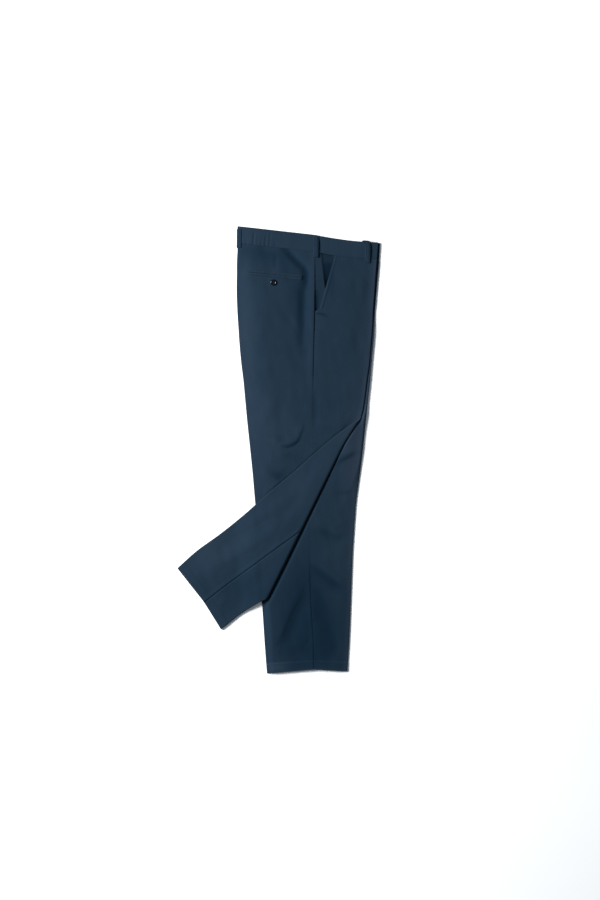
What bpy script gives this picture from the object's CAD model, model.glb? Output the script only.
"""Navy cotton twill chinos laid flat: folded at the seat and the fly, the upper leg turned back at the knee."""

import logging
import math
from dataclasses import dataclass, field
from enum import Enum
from typing import Callable, Sequence

import bmesh
import bpy
import numpy as np
from mathutils import Matrix, Vector


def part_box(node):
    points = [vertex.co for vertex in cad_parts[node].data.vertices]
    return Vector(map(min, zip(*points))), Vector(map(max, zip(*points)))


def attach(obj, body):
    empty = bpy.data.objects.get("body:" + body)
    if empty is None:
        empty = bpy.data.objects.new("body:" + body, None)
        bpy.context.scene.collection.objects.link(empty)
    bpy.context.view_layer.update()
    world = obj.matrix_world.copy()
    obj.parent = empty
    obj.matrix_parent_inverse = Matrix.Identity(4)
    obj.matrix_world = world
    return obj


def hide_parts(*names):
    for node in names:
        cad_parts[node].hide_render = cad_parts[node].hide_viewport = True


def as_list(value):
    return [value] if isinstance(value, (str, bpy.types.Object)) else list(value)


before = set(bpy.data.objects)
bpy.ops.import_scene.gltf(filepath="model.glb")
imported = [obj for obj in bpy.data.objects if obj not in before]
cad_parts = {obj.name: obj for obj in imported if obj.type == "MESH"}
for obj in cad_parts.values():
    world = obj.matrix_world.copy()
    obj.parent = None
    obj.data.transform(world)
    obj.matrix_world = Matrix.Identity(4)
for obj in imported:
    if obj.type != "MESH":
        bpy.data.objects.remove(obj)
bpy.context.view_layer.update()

Array = np.ndarray
LOG = logging.getLogger("chinos")

MM = 0.001

# Cloth, in millimetres
CLOTH = 1.2  # room that one layer takes in the stack
TWILL = 0.8  # the twill itself, from the outer face of that room inwards
BAND_CLOTH = 2.6  # waistband, folded and interfaced
LEG_AIR = 0.6
HALF_AIR = 0.5
SEAM_LINE = 0.16  # dark line left where two panels meet

# Heights of the middle of each layer above the table
LEFT_OUTER = CLOTH / 2
LEFT_INNER = LEFT_OUTER + CLOTH + LEG_AIR
RIGHT_INNER = LEFT_INNER + CLOTH + HALF_AIR
RIGHT_OUTER = RIGHT_INNER + CLOTH + LEG_AIR
RIGHT_TOP = RIGHT_OUTER + CLOTH / 2
HIP_TAIL = 0.6

# Rows of the cloth, as heights up the side seam
WAIST_TOP = 516.8
WAIST_SEAM = 476.0
LEVEL_ROW = 200.0
WAIST_RISE_BACK = 21.0
WAIST_DROP_FRONT = 17.5
SEAT_CURVE_TOP = 335.0
CROTCH_POINT = 262.0
RIGHT_HEM = -482.5
LEFT_HEM = -525.0
HEM_DROP_RUN = 120.0
HEM_DEPTH = 21.0  # cloth turned in at the hem

# The line that the right leg rolls over at the knee
FOLD_X = 132.8
FOLD_Y = -20.1
FOLD_ACROSS = np.array([0.897, -0.442]) / math.hypot(0.897, 0.442)
SWING_FADE = 90.0
ROLL_INSIDE = 3.0
ROLL_AXIS = RIGHT_TOP + ROLL_INSIDE
ROLL_RADIUS = ROLL_AXIS - (RIGHT_OUTER + RIGHT_INNER) / 2
SETTLE_RUN = 45.0
FLAP_AIR = 0.7
DROP_START = 2.0
DROP_RUN = 60.0
FOLD_CORNER = 112.5  # where the front crease meets the fold, measured along the fold
ROLL_OPEN = (0.15, 0.72)  # share of the roll's air that is left, at that corner and down the fold
ROLL_OPEN_RUN = 170.0
ROLL_SQUARE = 0.78  # below 1 the roll is boxier than round, as a pressed fold is

LOFT_RUN = 55.0
FRONT_LOFT_RUN = 140.0  # the pressed front stays thin, so the cloth climbs slowly from it
PUFF_RUN = 40.0
SEAT_RUN = (36.0, 74.0)  # how far the cloth swells in from the seat fold, at the hip and on the thigh
FRONT_RUN = 110.0
CREASE_RUN = 8.0
SEAT_PUFF = (3.0, 4.0)
SIDE_PUFF = 2.0
FLAP_PUFF = 3.2
FLAP_RUN = 70.0
FLAP_CREVICE = (0.2, 3.6)  # the thigh dips only just beside the turned-back leg's edge
SHIN_PUFF = 3.0
SHIN_FRONT_RUN = (34.0, 3.5)  # at the hem and at the knee, where the leg below is puffed up to its edge
FOLD_CREVICE = (4.0, 10.5, 17.0)  # the lower leg rises again past the fold: from here, to here at its two ends

# Slanted front pocket: ends of its mouth in plan
MOUTH_TOP = (134.2, 464.0)
MOUTH_LOW = (98.2, 338.6)
MOUTH_STEP = 5.0
FACING_UNDER = 9.0
FACING_DEPTH = 1.8
GAPE = 5.5  # how much further the facing falls away in the upper half of the mouth

# Back pocket: ends of its mouth in plan
POCKET_MOUTH = ((-69.8, 427.2), (55.7, 414.0))

# Camera, straight above the middle of the picture
PICTURE_HEIGHT = 2160.0  # millimetres of table in the picture's height
LENS = 85.0
SENSOR = 36.0
AIM = (51.6, 1.2)


def smooth(value: Array, low: float, high: float) -> Array:
    """A soft step from 0 at low to 1 at high."""
    share = np.clip((np.asarray(value, float) - low) / (high - low), 0.0, 1.0)
    return share * share * (3.0 - 2.0 * share)


def mix(start: Array, end: Array, share: Array) -> Array:
    """The value that lies share of the way from start to end."""
    return start + (end - start) * share


def linear_colour(code: str) -> tuple[float, float, float, float]:
    """Turns an sRGB hex colour to linear.

    Args:
        code: six hex digits, such as "22354a".

    Returns:
        Linear red, green and blue, and an alpha of 1.
    """
    parts = [int(code[i : i + 2], 16) / 255 for i in (0, 2, 4)]
    red, green, blue = [
        part / 12.92 if part <= 0.04045 else ((part + 0.055) / 1.055) ** 2.4 for part in parts
    ]
    return red, green, blue, 1.0


class Side(Enum):
    """The two panels of a half, by the way that they run from the side seam."""

    BACK = -1
    FRONT = 1


class SmoothTable:
    """A smooth function of height through one column of a table."""

    def __init__(self, heights: Sequence[float], values: Sequence[float]) -> None:
        """Sorts the rows by height and works out the slope at each.

        Args:
            heights: the rows' heights, in any order.
            values: the column's value in each row.
        """
        order = np.argsort(heights)
        self.heights = np.asarray(heights, float)[order]
        self.values = np.asarray(values, float)[order]
        below = np.maximum(np.arange(len(order)) - 1, 0)
        above = np.minimum(np.arange(len(order)) + 1, len(order) - 1)
        rise = self.values[above] - self.values[below]
        self.slopes = rise / (self.heights[above] - self.heights[below])

    def __call__(self, height: Array) -> Array:
        """Reads the column.

        Args:
            height: one or many heights, held to the table's ends.

        Returns:
            The value at each height.
        """
        at = np.clip(height, self.heights[0], self.heights[-1])
        row = np.clip(np.searchsorted(self.heights, at) - 1, 0, len(self.heights) - 2)
        span = self.heights[row + 1] - self.heights[row]
        share = (at - self.heights[row]) / span
        rise = self.values[row + 1] - self.values[row]
        lean = (1 - share) * (self.slopes[row] * span - rise)
        lean = lean - share * (self.slopes[row + 1] * span - rise)
        return self.values[row] + rise * share + share * (1 - share) * lean


@dataclass(frozen=True)
class Station:
    """One height of a half's plan: the seat edge, side seam, inseam and fly edge."""

    y: float
    back: float
    outseam: float
    inseam: float
    front: float


RIGHT_PLAN = (
    Station(545, -97.2, 88, 80, 239.8),
    Station(515, -97.3, 88, 80, 239.3),
    Station(472, -98, 87, 80, 236.6),
    Station(425, -99.3, 86.5, 79, 232.8),
    Station(385, -99.8, 86.2, 78, 230),
    Station(337, -98.3, 86, 77, 226.4),
    Station(289, -95.3, 85, 76, 224),
    Station(246, -92.3, 84, 74, 220.4),
    Station(205, -88.3, 83, 72, 216.8),
    Station(169, -83.8, 82.5, 70, 211.5),
    Station(121, -79.3, 83, 68, 205.5),
    Station(73, -74.8, 83.5, 66, 197.6),
    Station(13, -68.5, 83.5, 64, 188),
    Station(-54, -61.6, 82, 61, 183.8),
    Station(-126, -55.3, 79, 58.5, 178.4),
    Station(-196, -47.3, 75, 58, 175.8),
    Station(-280, -37.5, 70, 60, 170),
    Station(-349, -26, 70, 61.5, 168.4),
    Station(-424, -15.3, 70.5, 63, 170.3),
    Station(-486, -14, 71, 62.5, 165.5),
)

LEFT_PLAN = (
    Station(545, -95.5, 84, 80, 243.8),
    Station(493, -97, 84, 80, 243.3),
    Station(452, -99.3, 84, 80, 240.8),
    Station(395, -98.8, 83, 79, 235.8),
    Station(337, -96.8, 82, 78, 231.3),
    Station(280, -93.3, 81, 77, 228.8),
    Station(222, -88.3, 80, 76, 223.8),
    Station(164, -81.8, 79, 75, 218.8),
    Station(107, -76.3, 78, 74, 212.8),
    Station(49, -70.8, 77, 73.5, 206.8),
    Station(-8, -64.8, 75, 73, 200.8),
    Station(-66, -59.3, 72, 73, 193.5),
    Station(-124, -54.3, 69, 73, 185.8),
    Station(-181, -50.3, 67, 73.2, 181.5),
    Station(-239, -46.3, 66, 73.8, 177.8),
    Station(-296, -42.8, 66, 75.4, 175.5),
    Station(-354, -39.8, 66, 77.2, 173.4),
    Station(-412, -36, 66, 80.6, 171.2),
    Station(-469, -32.2, 66, 83.8, 168.6),
    Station(-535, -27.2, 66, 84.8, 164.3),
)

LOFT = SmoothTable((540, 476, 400, 200, 0, -530), (1.5, 2.5, 4.0, 3.5, 2.5, 2.0))


@dataclass(frozen=True)
class Crease:
    """A soft trough or ridge along a bent line, steeper on one side than on the other.

    The line goes through points (x, y). rise is its height, below zero for a trough. left and right are its
    half widths on either hand of someone who walks along it.
    """

    points: tuple[tuple[float, float], ...]
    rise: float
    left: float
    right: float

    def height(self, x: Array, y: Array) -> Array:
        """Works out what the crease adds to the cloth.

        Args:
            x: places in plan.
            y: places in plan.

        Returns:
            The height at each place, which fades towards the line's ends.
        """
        corners = np.asarray(self.points, float)
        runs = np.diff(corners, axis=0)
        lengths = np.hypot(runs[:, 0], runs[:, 1])
        total = lengths.sum()
        nearest = np.full(np.shape(x), np.inf)
        hand = np.zeros(np.shape(x))
        along = np.zeros(np.shape(x))
        gone = 0.0
        for start, run, length in zip(corners, runs, lengths):
            dx, dy = x - start[0], y - start[1]
            share = np.clip((dx * run[0] + dy * run[1]) / length**2, 0, 1)
            away = np.hypot(dx - share * run[0], dy - share * run[1])
            closer = away < nearest
            nearest = np.where(closer, away, nearest)
            hand = np.where(closer, run[0] * dy - run[1] * dx, hand)
            along = np.where(closer, (gone + share * length) / total, along)
            gone += length
        width = np.where(hand > 0, self.left, self.right)
        fade = np.sin(np.pi * np.clip(0.08 + 0.84 * along, 0, 1)) ** 0.7
        return self.rise * fade * np.exp(-((nearest / width) ** 2))


# The main creases, placed by hand against the photograph
THIGH_CREASES = (
    Crease(((2, 494), (20, 479), (40, 457), (61, 437), (67, 424), (66, 404)), -3.4, 10, 8),
    Crease(((66, 428), (66, 404), (61, 385), (59, 361), (58, 330), (57, 255)), -2.7, 8, 11),
    Crease(((-84, 474), (-40, 478), (6, 470)), -2.2, 12, 24),
    Crease(((-5, 468), (-6, 452), (-7, 436)), -0.9, 3, 4),
    Crease(((-70, 356), (-44, 305), (-48, 240)), 1.2, 16, 20),
    Crease(((14, 330), (29, 311), (43, 290)), -1.2, 6, 10),
    Crease(((0, 224), (26, 208), (50, 186)), 0.9, 14, 18),
    Crease(((15, 132), (8, 100), (4, 68)), -1.0, 12, 14),
    Crease(((-40, 150), (-24, 110), (-28, 60)), 1.0, 18, 16),
    Crease(((2, 13), (18, 10.5), (32, 15), (42, 22), (49, 33)), 2.4, 20, 3.4),
    Crease(((44, 24), (50, 36), (56, 52), (60, 68)), 0.8, 14, 4),
    Crease(((-8, 36), (6, 30), (20, 34)), -0.9, 8, 8),
    Crease(((96, 62), (128, 66), (160, 64), (192, 78)), 1.5, 16, 14),
    Crease(((-18, -50), (3, -62), (26, -52)), -1.8, 12, 9),
    Crease(((22, -6), (38, -20), (60, -24)), -0.8, 12, 12),
    Crease(((-10, -20), (20, -4), (44, 2)), 0.8, 10, 10),
    Crease(((87, 138), (87, 100), (88, 62)), -1.4, 8, 8),
    Crease(((93, 320), (112, 316), (132, 312)), 0.9, 5, 6),
    Crease(((94, 301), (110, 299), (128, 295)), 0.7, 5, 6),
    Crease(((207, 440), (203, 405), (198, 360)), 0.8, 10, 12),
    Crease(((150, 440), (172, 380), (178, 300)), 0.8, 20, 24),
    Crease(((120, 270), (140, 215), (136, 160)), -0.9, 18, 22),
    Crease(((150, 150), (160, 110), (150, 86)), 0.8, 16, 18),
    Crease(((196, 330), (190, 250), (182, 170)), -0.7, 14, 14),
)
FLAP_CREASES = (
    Crease(((66, -110), (10, -150), (-54, -184), (-130, -228)), -1.7, 20, 15),
    Crease(((-30, -205), (-90, -245), (-150, -276)), 1.0, 12, 14),
    Crease(((44, -197), (18, -222), (-10, -248)), -1.8, 5, 9),
    Crease(((6, -272), (-32, -300), (-72, -330)), -1.7, 22, 16),
    Crease(((-128, -352), (-140, -372), (-134, -404)), 0.9, 8, 8),
    Crease(((36, -242), (14, -290), (-12, -330)), 1.0, 10, 12),
    Crease(((-196, -268), (-180, -300), (-160, -330)), -0.7, 12, 14),
)
SHIN_CREASES = (
    Crease(((178, 34), (172, -40), (162, -130)), 1.2, 24, 16),
    Crease(((197, -2), (180, -2), (170, -9), (146, -21)), 1.7, 5, 15),
    Crease(((180, -101), (164, -103), (146, -102)), -0.9, 5, 5),
    Crease(((100, -192), (122, -200), (142, -208), (168, -206)), -2.0, 8, 15),
    Crease(((104, -172), (134, -180), (170, -168)), 0.9, 10, 10),
    Crease(((88, -272), (114, -290), (138, -308), (166, -326)), 1.5, 12, 5),
    Crease(((90, -284), (114, -303), (138, -322), (166, -336)), -2.0, 8, 15),
    Crease(((54, -338), (44, -356), (28, -384), (16, -414), (0, -452), (-14, -474)), 1.3, 6, 18),
    Crease(((62, -352), (48, -388), (34, -426), (14, -462)), -2.2, 16, 12),
    Crease(((92, -352), (112, -388), (126, -424), (136, -470)), -2.4, 13, 20),
    Crease(((66, -462), (76, -454), (84, -462)), -0.9, 5, 5),
    Crease(((20, -474), (40, -468), (58, -476)), 0.8, 10, 10),
)

# Where the cloth has kept more of its dye, along the same creases: rise is a tone here, from 0 to -1
THIGH_SHADES = (
    Crease(((6, 491), (20, 479), (40, 457), (61, 437), (67, 424), (66, 404)), -1.0, 6, 9),
    Crease(((66, 430), (66, 404), (61, 385), (59, 361), (58, 330), (55, 240)), -0.95, 7, 13),
    Crease(((-78, 478), (-40, 474), (10, 466), (34, 440)), -0.6, 14, 26),
    Crease(((10, 440), (28, 420), (40, 380), (36, 330)), -0.35, 22, 22),
    Crease(((10, 10), (22, 9), (34, 13), (44, 19), (50, 27)), -1.0, 5, 2.5),
    Crease(((44, 20), (52, 32), (57, 48), (61, 64)), -0.4, 5, 3.5),
    Crease(((-2, 30), (8, 26), (16, 30)), -0.4, 8, 8),
    Crease(((-16, -54), (4, -63), (22, -60)), -0.8, 12, 10),
    Crease(((20, -8), (40, -18), (58, -26)), -0.3, 14, 12),
    Crease(((87, 142), (87, 100), (88, 62)), -0.55, 8, 8),
    Crease(((126, 440), (128, 400), (126, 372)), -0.35, 8, 10),
    Crease(((89, 329), (100, 327), (118, 321)), -0.9, 2.6, 2.6),
)
SHIN_SHADES = (
    Crease(((184, -8), (171, -14), (148, -26), (138, -34)), -0.8, 5, 9),
    Crease(((180, -101), (164, -103), (146, -102)), -0.35, 6, 6),
    Crease(((100, -192), (122, -201), (146, -209), (166, -206)), -0.5, 7, 12),
    Crease(((90, -280), (114, -299), (138, -318), (166, -334)), -0.75, 7, 16),
    Crease(((60, -350), (46, -384), (32, -424), (8, -462)), -0.8, 30, 13),
    Crease(((88, -350), (106, -388), (120, -424), (126, -476)), -0.7, 18, 34),
    Crease(((74, -300), (74, -350), (80, -420), (86, -500)), -0.5, 6, 6),
)

# How strongly the side seam stands up as a ridge, by height
SEAM_RIDGE = SmoothTable((500, 440, 392, 366, 300, 250, 180, 130, 0), (0.1, 0.15, 0.3, 0.9, 1, 0.8, 0.6, 0.2, 0.1))
SEAM_RIDGE_RUN = 15.0
SEAM_RIDGE_RISE = 1.3
SEAM_STEP_DOWN = 0.7


@dataclass(frozen=True)
class Patch:
    """A wide soft patch where the cloth is faded (tone above zero) or has kept its full dye (below zero)."""

    x: float
    y: float
    reach_x: float
    reach_y: float
    tone: float


PATCHES = (
    Patch(-84, 230, 26, 280, 0.45),
    Patch(-20, 60, 60, 90, 0.3),
    Patch(-160, -250, 70, 60, 0.35),
    Patch(50, -100, 40, 40, 0.2),
    Patch(-70, -330, 90, 60, -0.5),
    Patch(182, -20, 26, 110, 1.0),
    Patch(78, -440, 100, 120, -1.0),
    Patch(60, -300, 40, 120, -0.4),
    Patch(-6, -520, 24, 9, 0.9),
)


def patchiness(x: Array, y: Array) -> Array:
    """Adds up the patches, between full dye at -1 and faded at 1."""
    total = np.zeros(np.shape(x))
    for patch in PATCHES:
        away = ((x - patch.x) / patch.reach_x) ** 2 + ((y - patch.y) / patch.reach_y) ** 2
        total = total + patch.tone * np.exp(-away)
    return np.clip(total, -1, 1)


def creases_at(creases: Sequence[Crease], x: Array, y: Array) -> Array:
    """Adds up a list of creases.

    Args:
        creases: the troughs and ridges.
        x: places in plan.
        y: places in plan.

    Returns:
        Their height at each place.
    """
    total = np.zeros(np.shape(x))
    for crease in creases:
        total = total + crease.height(x, y)
    return total


@dataclass(frozen=True)
class Rumple:
    """Low uneven waves that keep laid cloth from being perfectly even."""

    waves: int = 14
    longest: float = 150.0
    shortest: float = 26.0
    rise: float = 0.12
    seed: int = 11

    def height(self, x: Array, y: Array) -> Array:
        """Adds up the waves.

        Args:
            x: places in plan.
            y: places in plan.

        Returns:
            A height at each place, a few tenths of a millimetre either way.
        """
        chance = np.random.default_rng(self.seed)
        total = np.zeros(np.shape(x))
        for share in np.linspace(0, 1, self.waves):
            length = self.longest * (self.shortest / self.longest) ** share
            heading, start = chance.uniform(0, math.pi), chance.uniform(0, 2 * math.pi)
            bend, sway = chance.uniform(0.4, 1.1), chance.uniform(180, 320)
            across = x * math.cos(heading) + y * math.sin(heading)
            along = y * math.cos(heading) - x * math.sin(heading)
            phase = 2 * math.pi * across / length + bend * np.sin(along / sway * 2 * math.pi) + start
            total = total + self.rise * (length / self.longest) ** 0.45 * np.sin(phase)
        return total


RUMPLE = Rumple()


def pucker(distance: Array, along: Array, reach: float = 6.0, pitch: float = 9.0) -> Array:
    """Small uneven ripples that sewing draws up beside a seam.

    Args:
        distance: how far each place is from the seam.
        along: how far it is along the seam.
        reach: distance over which the ripples die away.
        pitch: distance from one ripple to the next.

    Returns:
        A height at each place, up to about a third of a millimetre.
    """
    phase = 2 * math.pi * along / pitch
    wave = np.sin(phase + 1.7 * np.sin(phase * 0.23)) * (0.6 + 0.4 * np.sin(phase * 0.11 + 1))
    return 0.3 * wave * np.exp(-np.abs(distance) / reach)


@dataclass
class Half:
    """One half of the trousers: its plan, the way that its outer layer faces, and its heights."""

    name: str
    stations: Sequence[Station]
    up: float
    outer: float
    waist: float
    hem: float
    hem_drop_back: float
    hem_drop_front: float

    def __post_init__(self) -> None:
        """Makes a smooth table of each edge and seam."""
        heights = [station.y for station in self.stations]
        self.outseam = SmoothTable(heights, [station.outseam for station in self.stations])
        self.inseam = SmoothTable(heights, [station.inseam for station in self.stations])
        self.edges = {
            Side.BACK: SmoothTable(heights, [station.back for station in self.stations]),
            Side.FRONT: SmoothTable(heights, [station.front for station in self.stations]),
        }

    def row(self, side: Side, seam_y: Array, share: Array) -> Array:
        """Follows a row of cloth, which climbs at the waist and dips at the hem's corners.

        Args:
            side: back or front.
            seam_y: the row's height at the side seam.
            share: how far across the panel, from 0 at the side seam to 1 at the edge.

        Returns:
            The row's height there.
        """
        tilt = np.clip((seam_y - LEVEL_ROW) / (WAIST_SEAM - LEVEL_ROW), 0, 1)
        if side is Side.BACK:
            climb = WAIST_RISE_BACK * share
            drop = self.hem_drop_back
        else:
            climb = -WAIST_DROP_FRONT * (1 - np.clip(1 - share, 0, 1) ** 1.8)
            drop = self.hem_drop_front
        dip = np.clip(1 - (seam_y - self.hem) / HEM_DROP_RUN, 0, 1) ** 2
        return seam_y + tilt * climb - dip * drop * share

    def start(self, side: Side, y: Array) -> Array:
        """Where the outer layer begins: at the side seam, or at the mouth of the slanted pocket.

        Args:
            side: back or front.
            y: heights.

        Returns:
            Its place across at each height.
        """
        seam = self.outseam(y) + side.value * SEAM_LINE / 2
        if side is Side.BACK or self.up < 0:
            return seam
        slope = (MOUTH_TOP[0] - MOUTH_LOW[0]) / (MOUTH_TOP[1] - MOUTH_LOW[1])
        mouth = np.maximum(MOUTH_LOW[0] + (y - MOUTH_LOW[1]) * slope, seam)
        closing = np.clip((y - MOUTH_LOW[1] + MOUTH_STEP) / MOUTH_STEP, 0, 1)
        return mix(seam, mouth, closing)

    def spread_out(self, side: Side, seam_y: Array, along: Array, offset: Array) -> dict[str, Array]:
        """Places points of a panel with the leg still straight.

        Args:
            side: back or front.
            seam_y: each point's row, by its height at the side seam.
            along: 0 to 1 across the outer layer, 1 to 2 round the edge, 2 to 3 across the inner layer.
            offset: distance out from the middle of the layer.

        Returns:
            x, y and height h of each point, inner (how far it belongs to the inner layer), and across, its
            distance from the side seam measured over the cloth.
        """
        way = side.value
        legs = smooth(SEAT_CURVE_TOP + 25 - seam_y, 0, 25)
        turn = mix(math.pi / 2, math.pi, legs)
        bend = (CLOTH + LEG_AIR) / 2
        hanging = HIP_TAIL + CLOTH + LEG_AIR - bend * (1 - np.cos(turn))
        share = np.clip(along, 0, 1)
        flat = share
        for _ in range(4):
            y_outer = self.row(side, seam_y, share)
            seam = self.outseam(y_outer)
            edge = self.edges[side](y_outer) - way * bend
            x_outer = mix(self.start(side, y_outer), edge, flat)
            share = (x_outer - seam) / (edge - seam)
        edge_y = self.row(side, seam_y, 1.0)
        centre_x = self.edges[side](edge_y) - way * bend
        centre_h = self.outer - self.up * bend
        angle = np.clip(along - 1, 0, 1) * turn
        reach = np.clip((SEAT_CURVE_TOP - seam_y) / (SEAT_CURVE_TOP - CROTCH_POINT), 0, 1) ** 2
        inward = np.clip(along - 2, 0, 1)
        y_inner = self.row(side, seam_y, 1 - inward * reach)
        inseam = self.inseam(y_inner) + way * SEAM_LINE / 2
        tail = mix(hanging, np.abs(centre_x - inseam), reach) * inward
        x_wrap = centre_x + way * ((bend + offset) * np.sin(angle) + tail * np.cos(turn))
        h_wrap = centre_h + self.up * ((bend + offset) * np.cos(angle) - tail * np.sin(turn))
        outer = along <= 1
        across = np.abs(np.where(outer, x_outer, centre_x) - self.outseam(edge_y))
        return {
            "x": np.where(outer, x_outer, x_wrap),
            "y": np.where(outer, y_outer, np.where(along <= 2, edge_y, y_inner)),
            "h": np.where(outer, self.outer + self.up * offset, h_wrap),
            "inner": np.where(outer, 0.0, angle / math.pi),
            "across": across + np.where(outer, 0.0, bend * angle + tail),
        }


RIGHT = Half("right", RIGHT_PLAN, 1, RIGHT_OUTER, WAIST_SEAM, RIGHT_HEM, 7.5, 1.5)
LEFT = Half("left", LEFT_PLAN, -1, LEFT_OUTER, WAIST_SEAM - 4, LEFT_HEM, 9.6, 4.8)


def loft(x: Array, y: Array) -> Array:
    """How high the cloth above the table layer puffs up at a place."""
    from_back = (x - LEFT.edges[Side.BACK](y)) / LOFT_RUN
    from_front = (LEFT.edges[Side.FRONT](y) - x) / FRONT_LOFT_RUN
    share = np.clip(np.minimum(from_back, from_front), 0, 1)
    return LOFT(y) * (1 - (1 - share) ** 2)


def along_fold(x: Array, y: Array) -> Array:
    """Distance of a place of the flat leg along the fold line, up towards the front crease."""
    return (y - FOLD_Y) * FOLD_ACROSS[0] - (x - FOLD_X) * FOLD_ACROSS[1]


def past_fold(x: Array, y: Array) -> Array:
    """Measures how far a place of the flat leg lies past the line where the leg begins to roll over.

    Args:
        x: places in plan.
        y: places in plan.

    Returns:
        The distance, below zero for cloth that isn't turned back.
    """
    straight = (x - FOLD_X) * FOLD_ACROSS[0] + (y - FOLD_Y) * FOLD_ACROSS[1]
    along = along_fold(x, y)
    swing = 10.3 * np.clip((along - 35) / 83, 0, 1) ** 1.5 - 2.5 * np.clip((-358 - along) / 22, 0, 1) ** 2
    return straight - swing * (1 - smooth(straight, 0, SWING_FADE))


def turned_back(x: Array, y: Array) -> tuple[Array, Array]:
    """Where places of the flat leg come to lie once it's turned back over the fold."""
    past = past_fold(x, y)
    shift = 2 * past - math.pi * ROLL_RADIUS
    return x - shift * FOLD_ACROSS[0], y - shift * FOLD_ACROSS[1]


def above_flap(x: Array, y: Array) -> Array:
    """Measures how far a place lies above the turned-back leg's upper edge.

    Args:
        x: places in plan.
        y: places in plan.

    Returns:
        The distance, below zero for places under the turned-back leg.
    """
    down = np.linspace(60, RIGHT_HEM, 90)
    front = RIGHT.edges[Side.FRONT](down)
    past = past_fold(front, down) > 0.5 * math.pi * ROLL_RADIUS
    edge_x, edge_y = turned_back(front[past], down[past])
    nearest = np.full(np.shape(x), np.inf)
    signed = np.zeros(np.shape(x))
    for i in range(len(edge_x) - 1):
        run_x, run_y = edge_x[i + 1] - edge_x[i], edge_y[i + 1] - edge_y[i]
        dx, dy = x - edge_x[i], y - edge_y[i]
        share = np.clip((dx * run_x + dy * run_y) / (run_x**2 + run_y**2), 0, 1)
        away = np.hypot(dx - share * run_x, dy - share * run_y)
        side = np.sign(run_y * dx - run_x * dy)
        closer = away < nearest
        nearest = np.where(closer, away, nearest)
        signed = np.where(closer, side * away, signed)
    return signed


def seam_ridge(beside: Array, y: Array) -> Array:
    """Works out the ridge along the side seam, where the back is pressed over the front.

    Args:
        beside: distance towards the front from the seam.
        y: heights.

    Returns:
        A rise on the back that ends in a step down to the front.
    """
    back = SEAM_RIDGE_RISE * smooth(beside, -SEAM_RIDGE_RUN, -5)
    front = -SEAM_STEP_DOWN * np.exp(-((beside / 9) ** 2))
    return SEAM_RIDGE(y) * np.where(beside < 0, back, front)


def thigh_relief(x: Array, y: Array) -> Array:
    """Works out the shape of the right half's upper face.

    Args:
        x: places in plan.
        y: places in plan.

    Returns:
        What its puff, creases and seams add to its height.
    """
    from_seat = x - RIGHT.edges[Side.BACK](y)
    from_fly = RIGHT.edges[Side.FRONT](y) - x
    level = np.maximum(smooth(x, 156, 182), 0.7 * np.exp(-(((x - 48) / 13) ** 2)))
    low, high = mix(FLAP_CREVICE[0], -1.5, level), mix(FLAP_CREVICE[1], 1.5, level)
    covered = smooth((above_flap(x, y) - low) / (high - low), 0, 1) * smooth(-past_fold(x, y), 0, 22)
    thigh = smooth(430 - y, 0, 90)
    swell = smooth(from_seat / mix(*SEAT_RUN, thigh), 0, 1)
    swell = swell * (1 - (1 - np.clip(from_fly / FRONT_RUN, 0, 1)) ** 2)
    puff = mix(mix(*SEAT_PUFF, thigh), SIDE_PUFF, smooth(x, -60, 70))
    puff = puff * swell * smooth(WAIST_SEAM + 14 - y, 0, PUFF_RUN * 2)
    lowest = -3.4 * smooth(y, CROTCH_POINT + 40, SEAT_CURVE_TOP + 20)
    inside = smooth(from_seat, 0, PUFF_RUN / 2) * smooth(from_fly, 0, CREASE_RUN)
    folds = (creases_at(THIGH_CREASES, x, y) + RUMPLE.height(x, y)) * inside
    body = covered * np.maximum(lowest, puff + folds)
    beside = x - RIGHT.outseam(y)
    return body + covered * (seam_ridge(beside, y) + pucker(beside, y))


def flap_relief(x: Array, y: Array, past_roll: Array) -> Array:
    """Works out the shape of the turned-back leg's upper face, where it has come to lie.

    Args:
        x: places in plan.
        y: places in plan.
        past_roll: how far each place is past the roll.

    Returns:
        What its puff and creases add to its height.
    """
    folds = creases_at(FLAP_CREASES, x, y) + RUMPLE.height(x + 300, y)
    crown = FLAP_PUFF * smooth(-above_flap(x, y), 0, FLAP_RUN)
    return smooth(past_roll, 0, PUFF_RUN) * np.maximum(0, crown + folds)


def shin_relief(x: Array, y: Array) -> Array:
    """Works out the shape of the left leg's upper face, past the turned-back leg.

    Args:
        x: places in plan.
        y: places in plan.

    Returns:
        What its puff and creases add to its height.
    """
    folds = creases_at(SHIN_CREASES, x, y) + RUMPLE.height(x, y + 700)
    past = past_fold(x, y)
    beside_fold = 3.2 * np.exp(-((np.clip(past - 8, 0, None) / 60) ** 2))
    lowest = -0.85 * loft(x, y) - 0.3
    from_back = x - LEFT.edges[Side.BACK](y)
    from_front = LEFT.edges[Side.FRONT](y) - x
    front_run = mix(*SHIN_FRONT_RUN, smooth(y, -150, -10))
    swell = smooth(from_back, 0, PUFF_RUN / 2) * (1 - (1 - np.clip(from_front / front_run, 0, 1)) ** 2)
    swell = swell * (1 - 0.45 * smooth(y, -150, -10) * smooth(44 - from_front, 0, 36))
    peeking = 1.8 * smooth(x - RIGHT.edges[Side.FRONT](y), 0.5, 5) * smooth(y, 40, 90)
    peeking = peeking * smooth(SEAT_CURVE_TOP - y, 0, 60)
    start, top_end, low_end = FOLD_CREVICE
    risen = smooth((past - start) / (mix(top_end, low_end, smooth(-y, 20, 300)) - start), 0, 1)
    return peeking + risen * np.maximum(lowest, swell * (SHIN_PUFF + beside_fold + folds))


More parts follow.
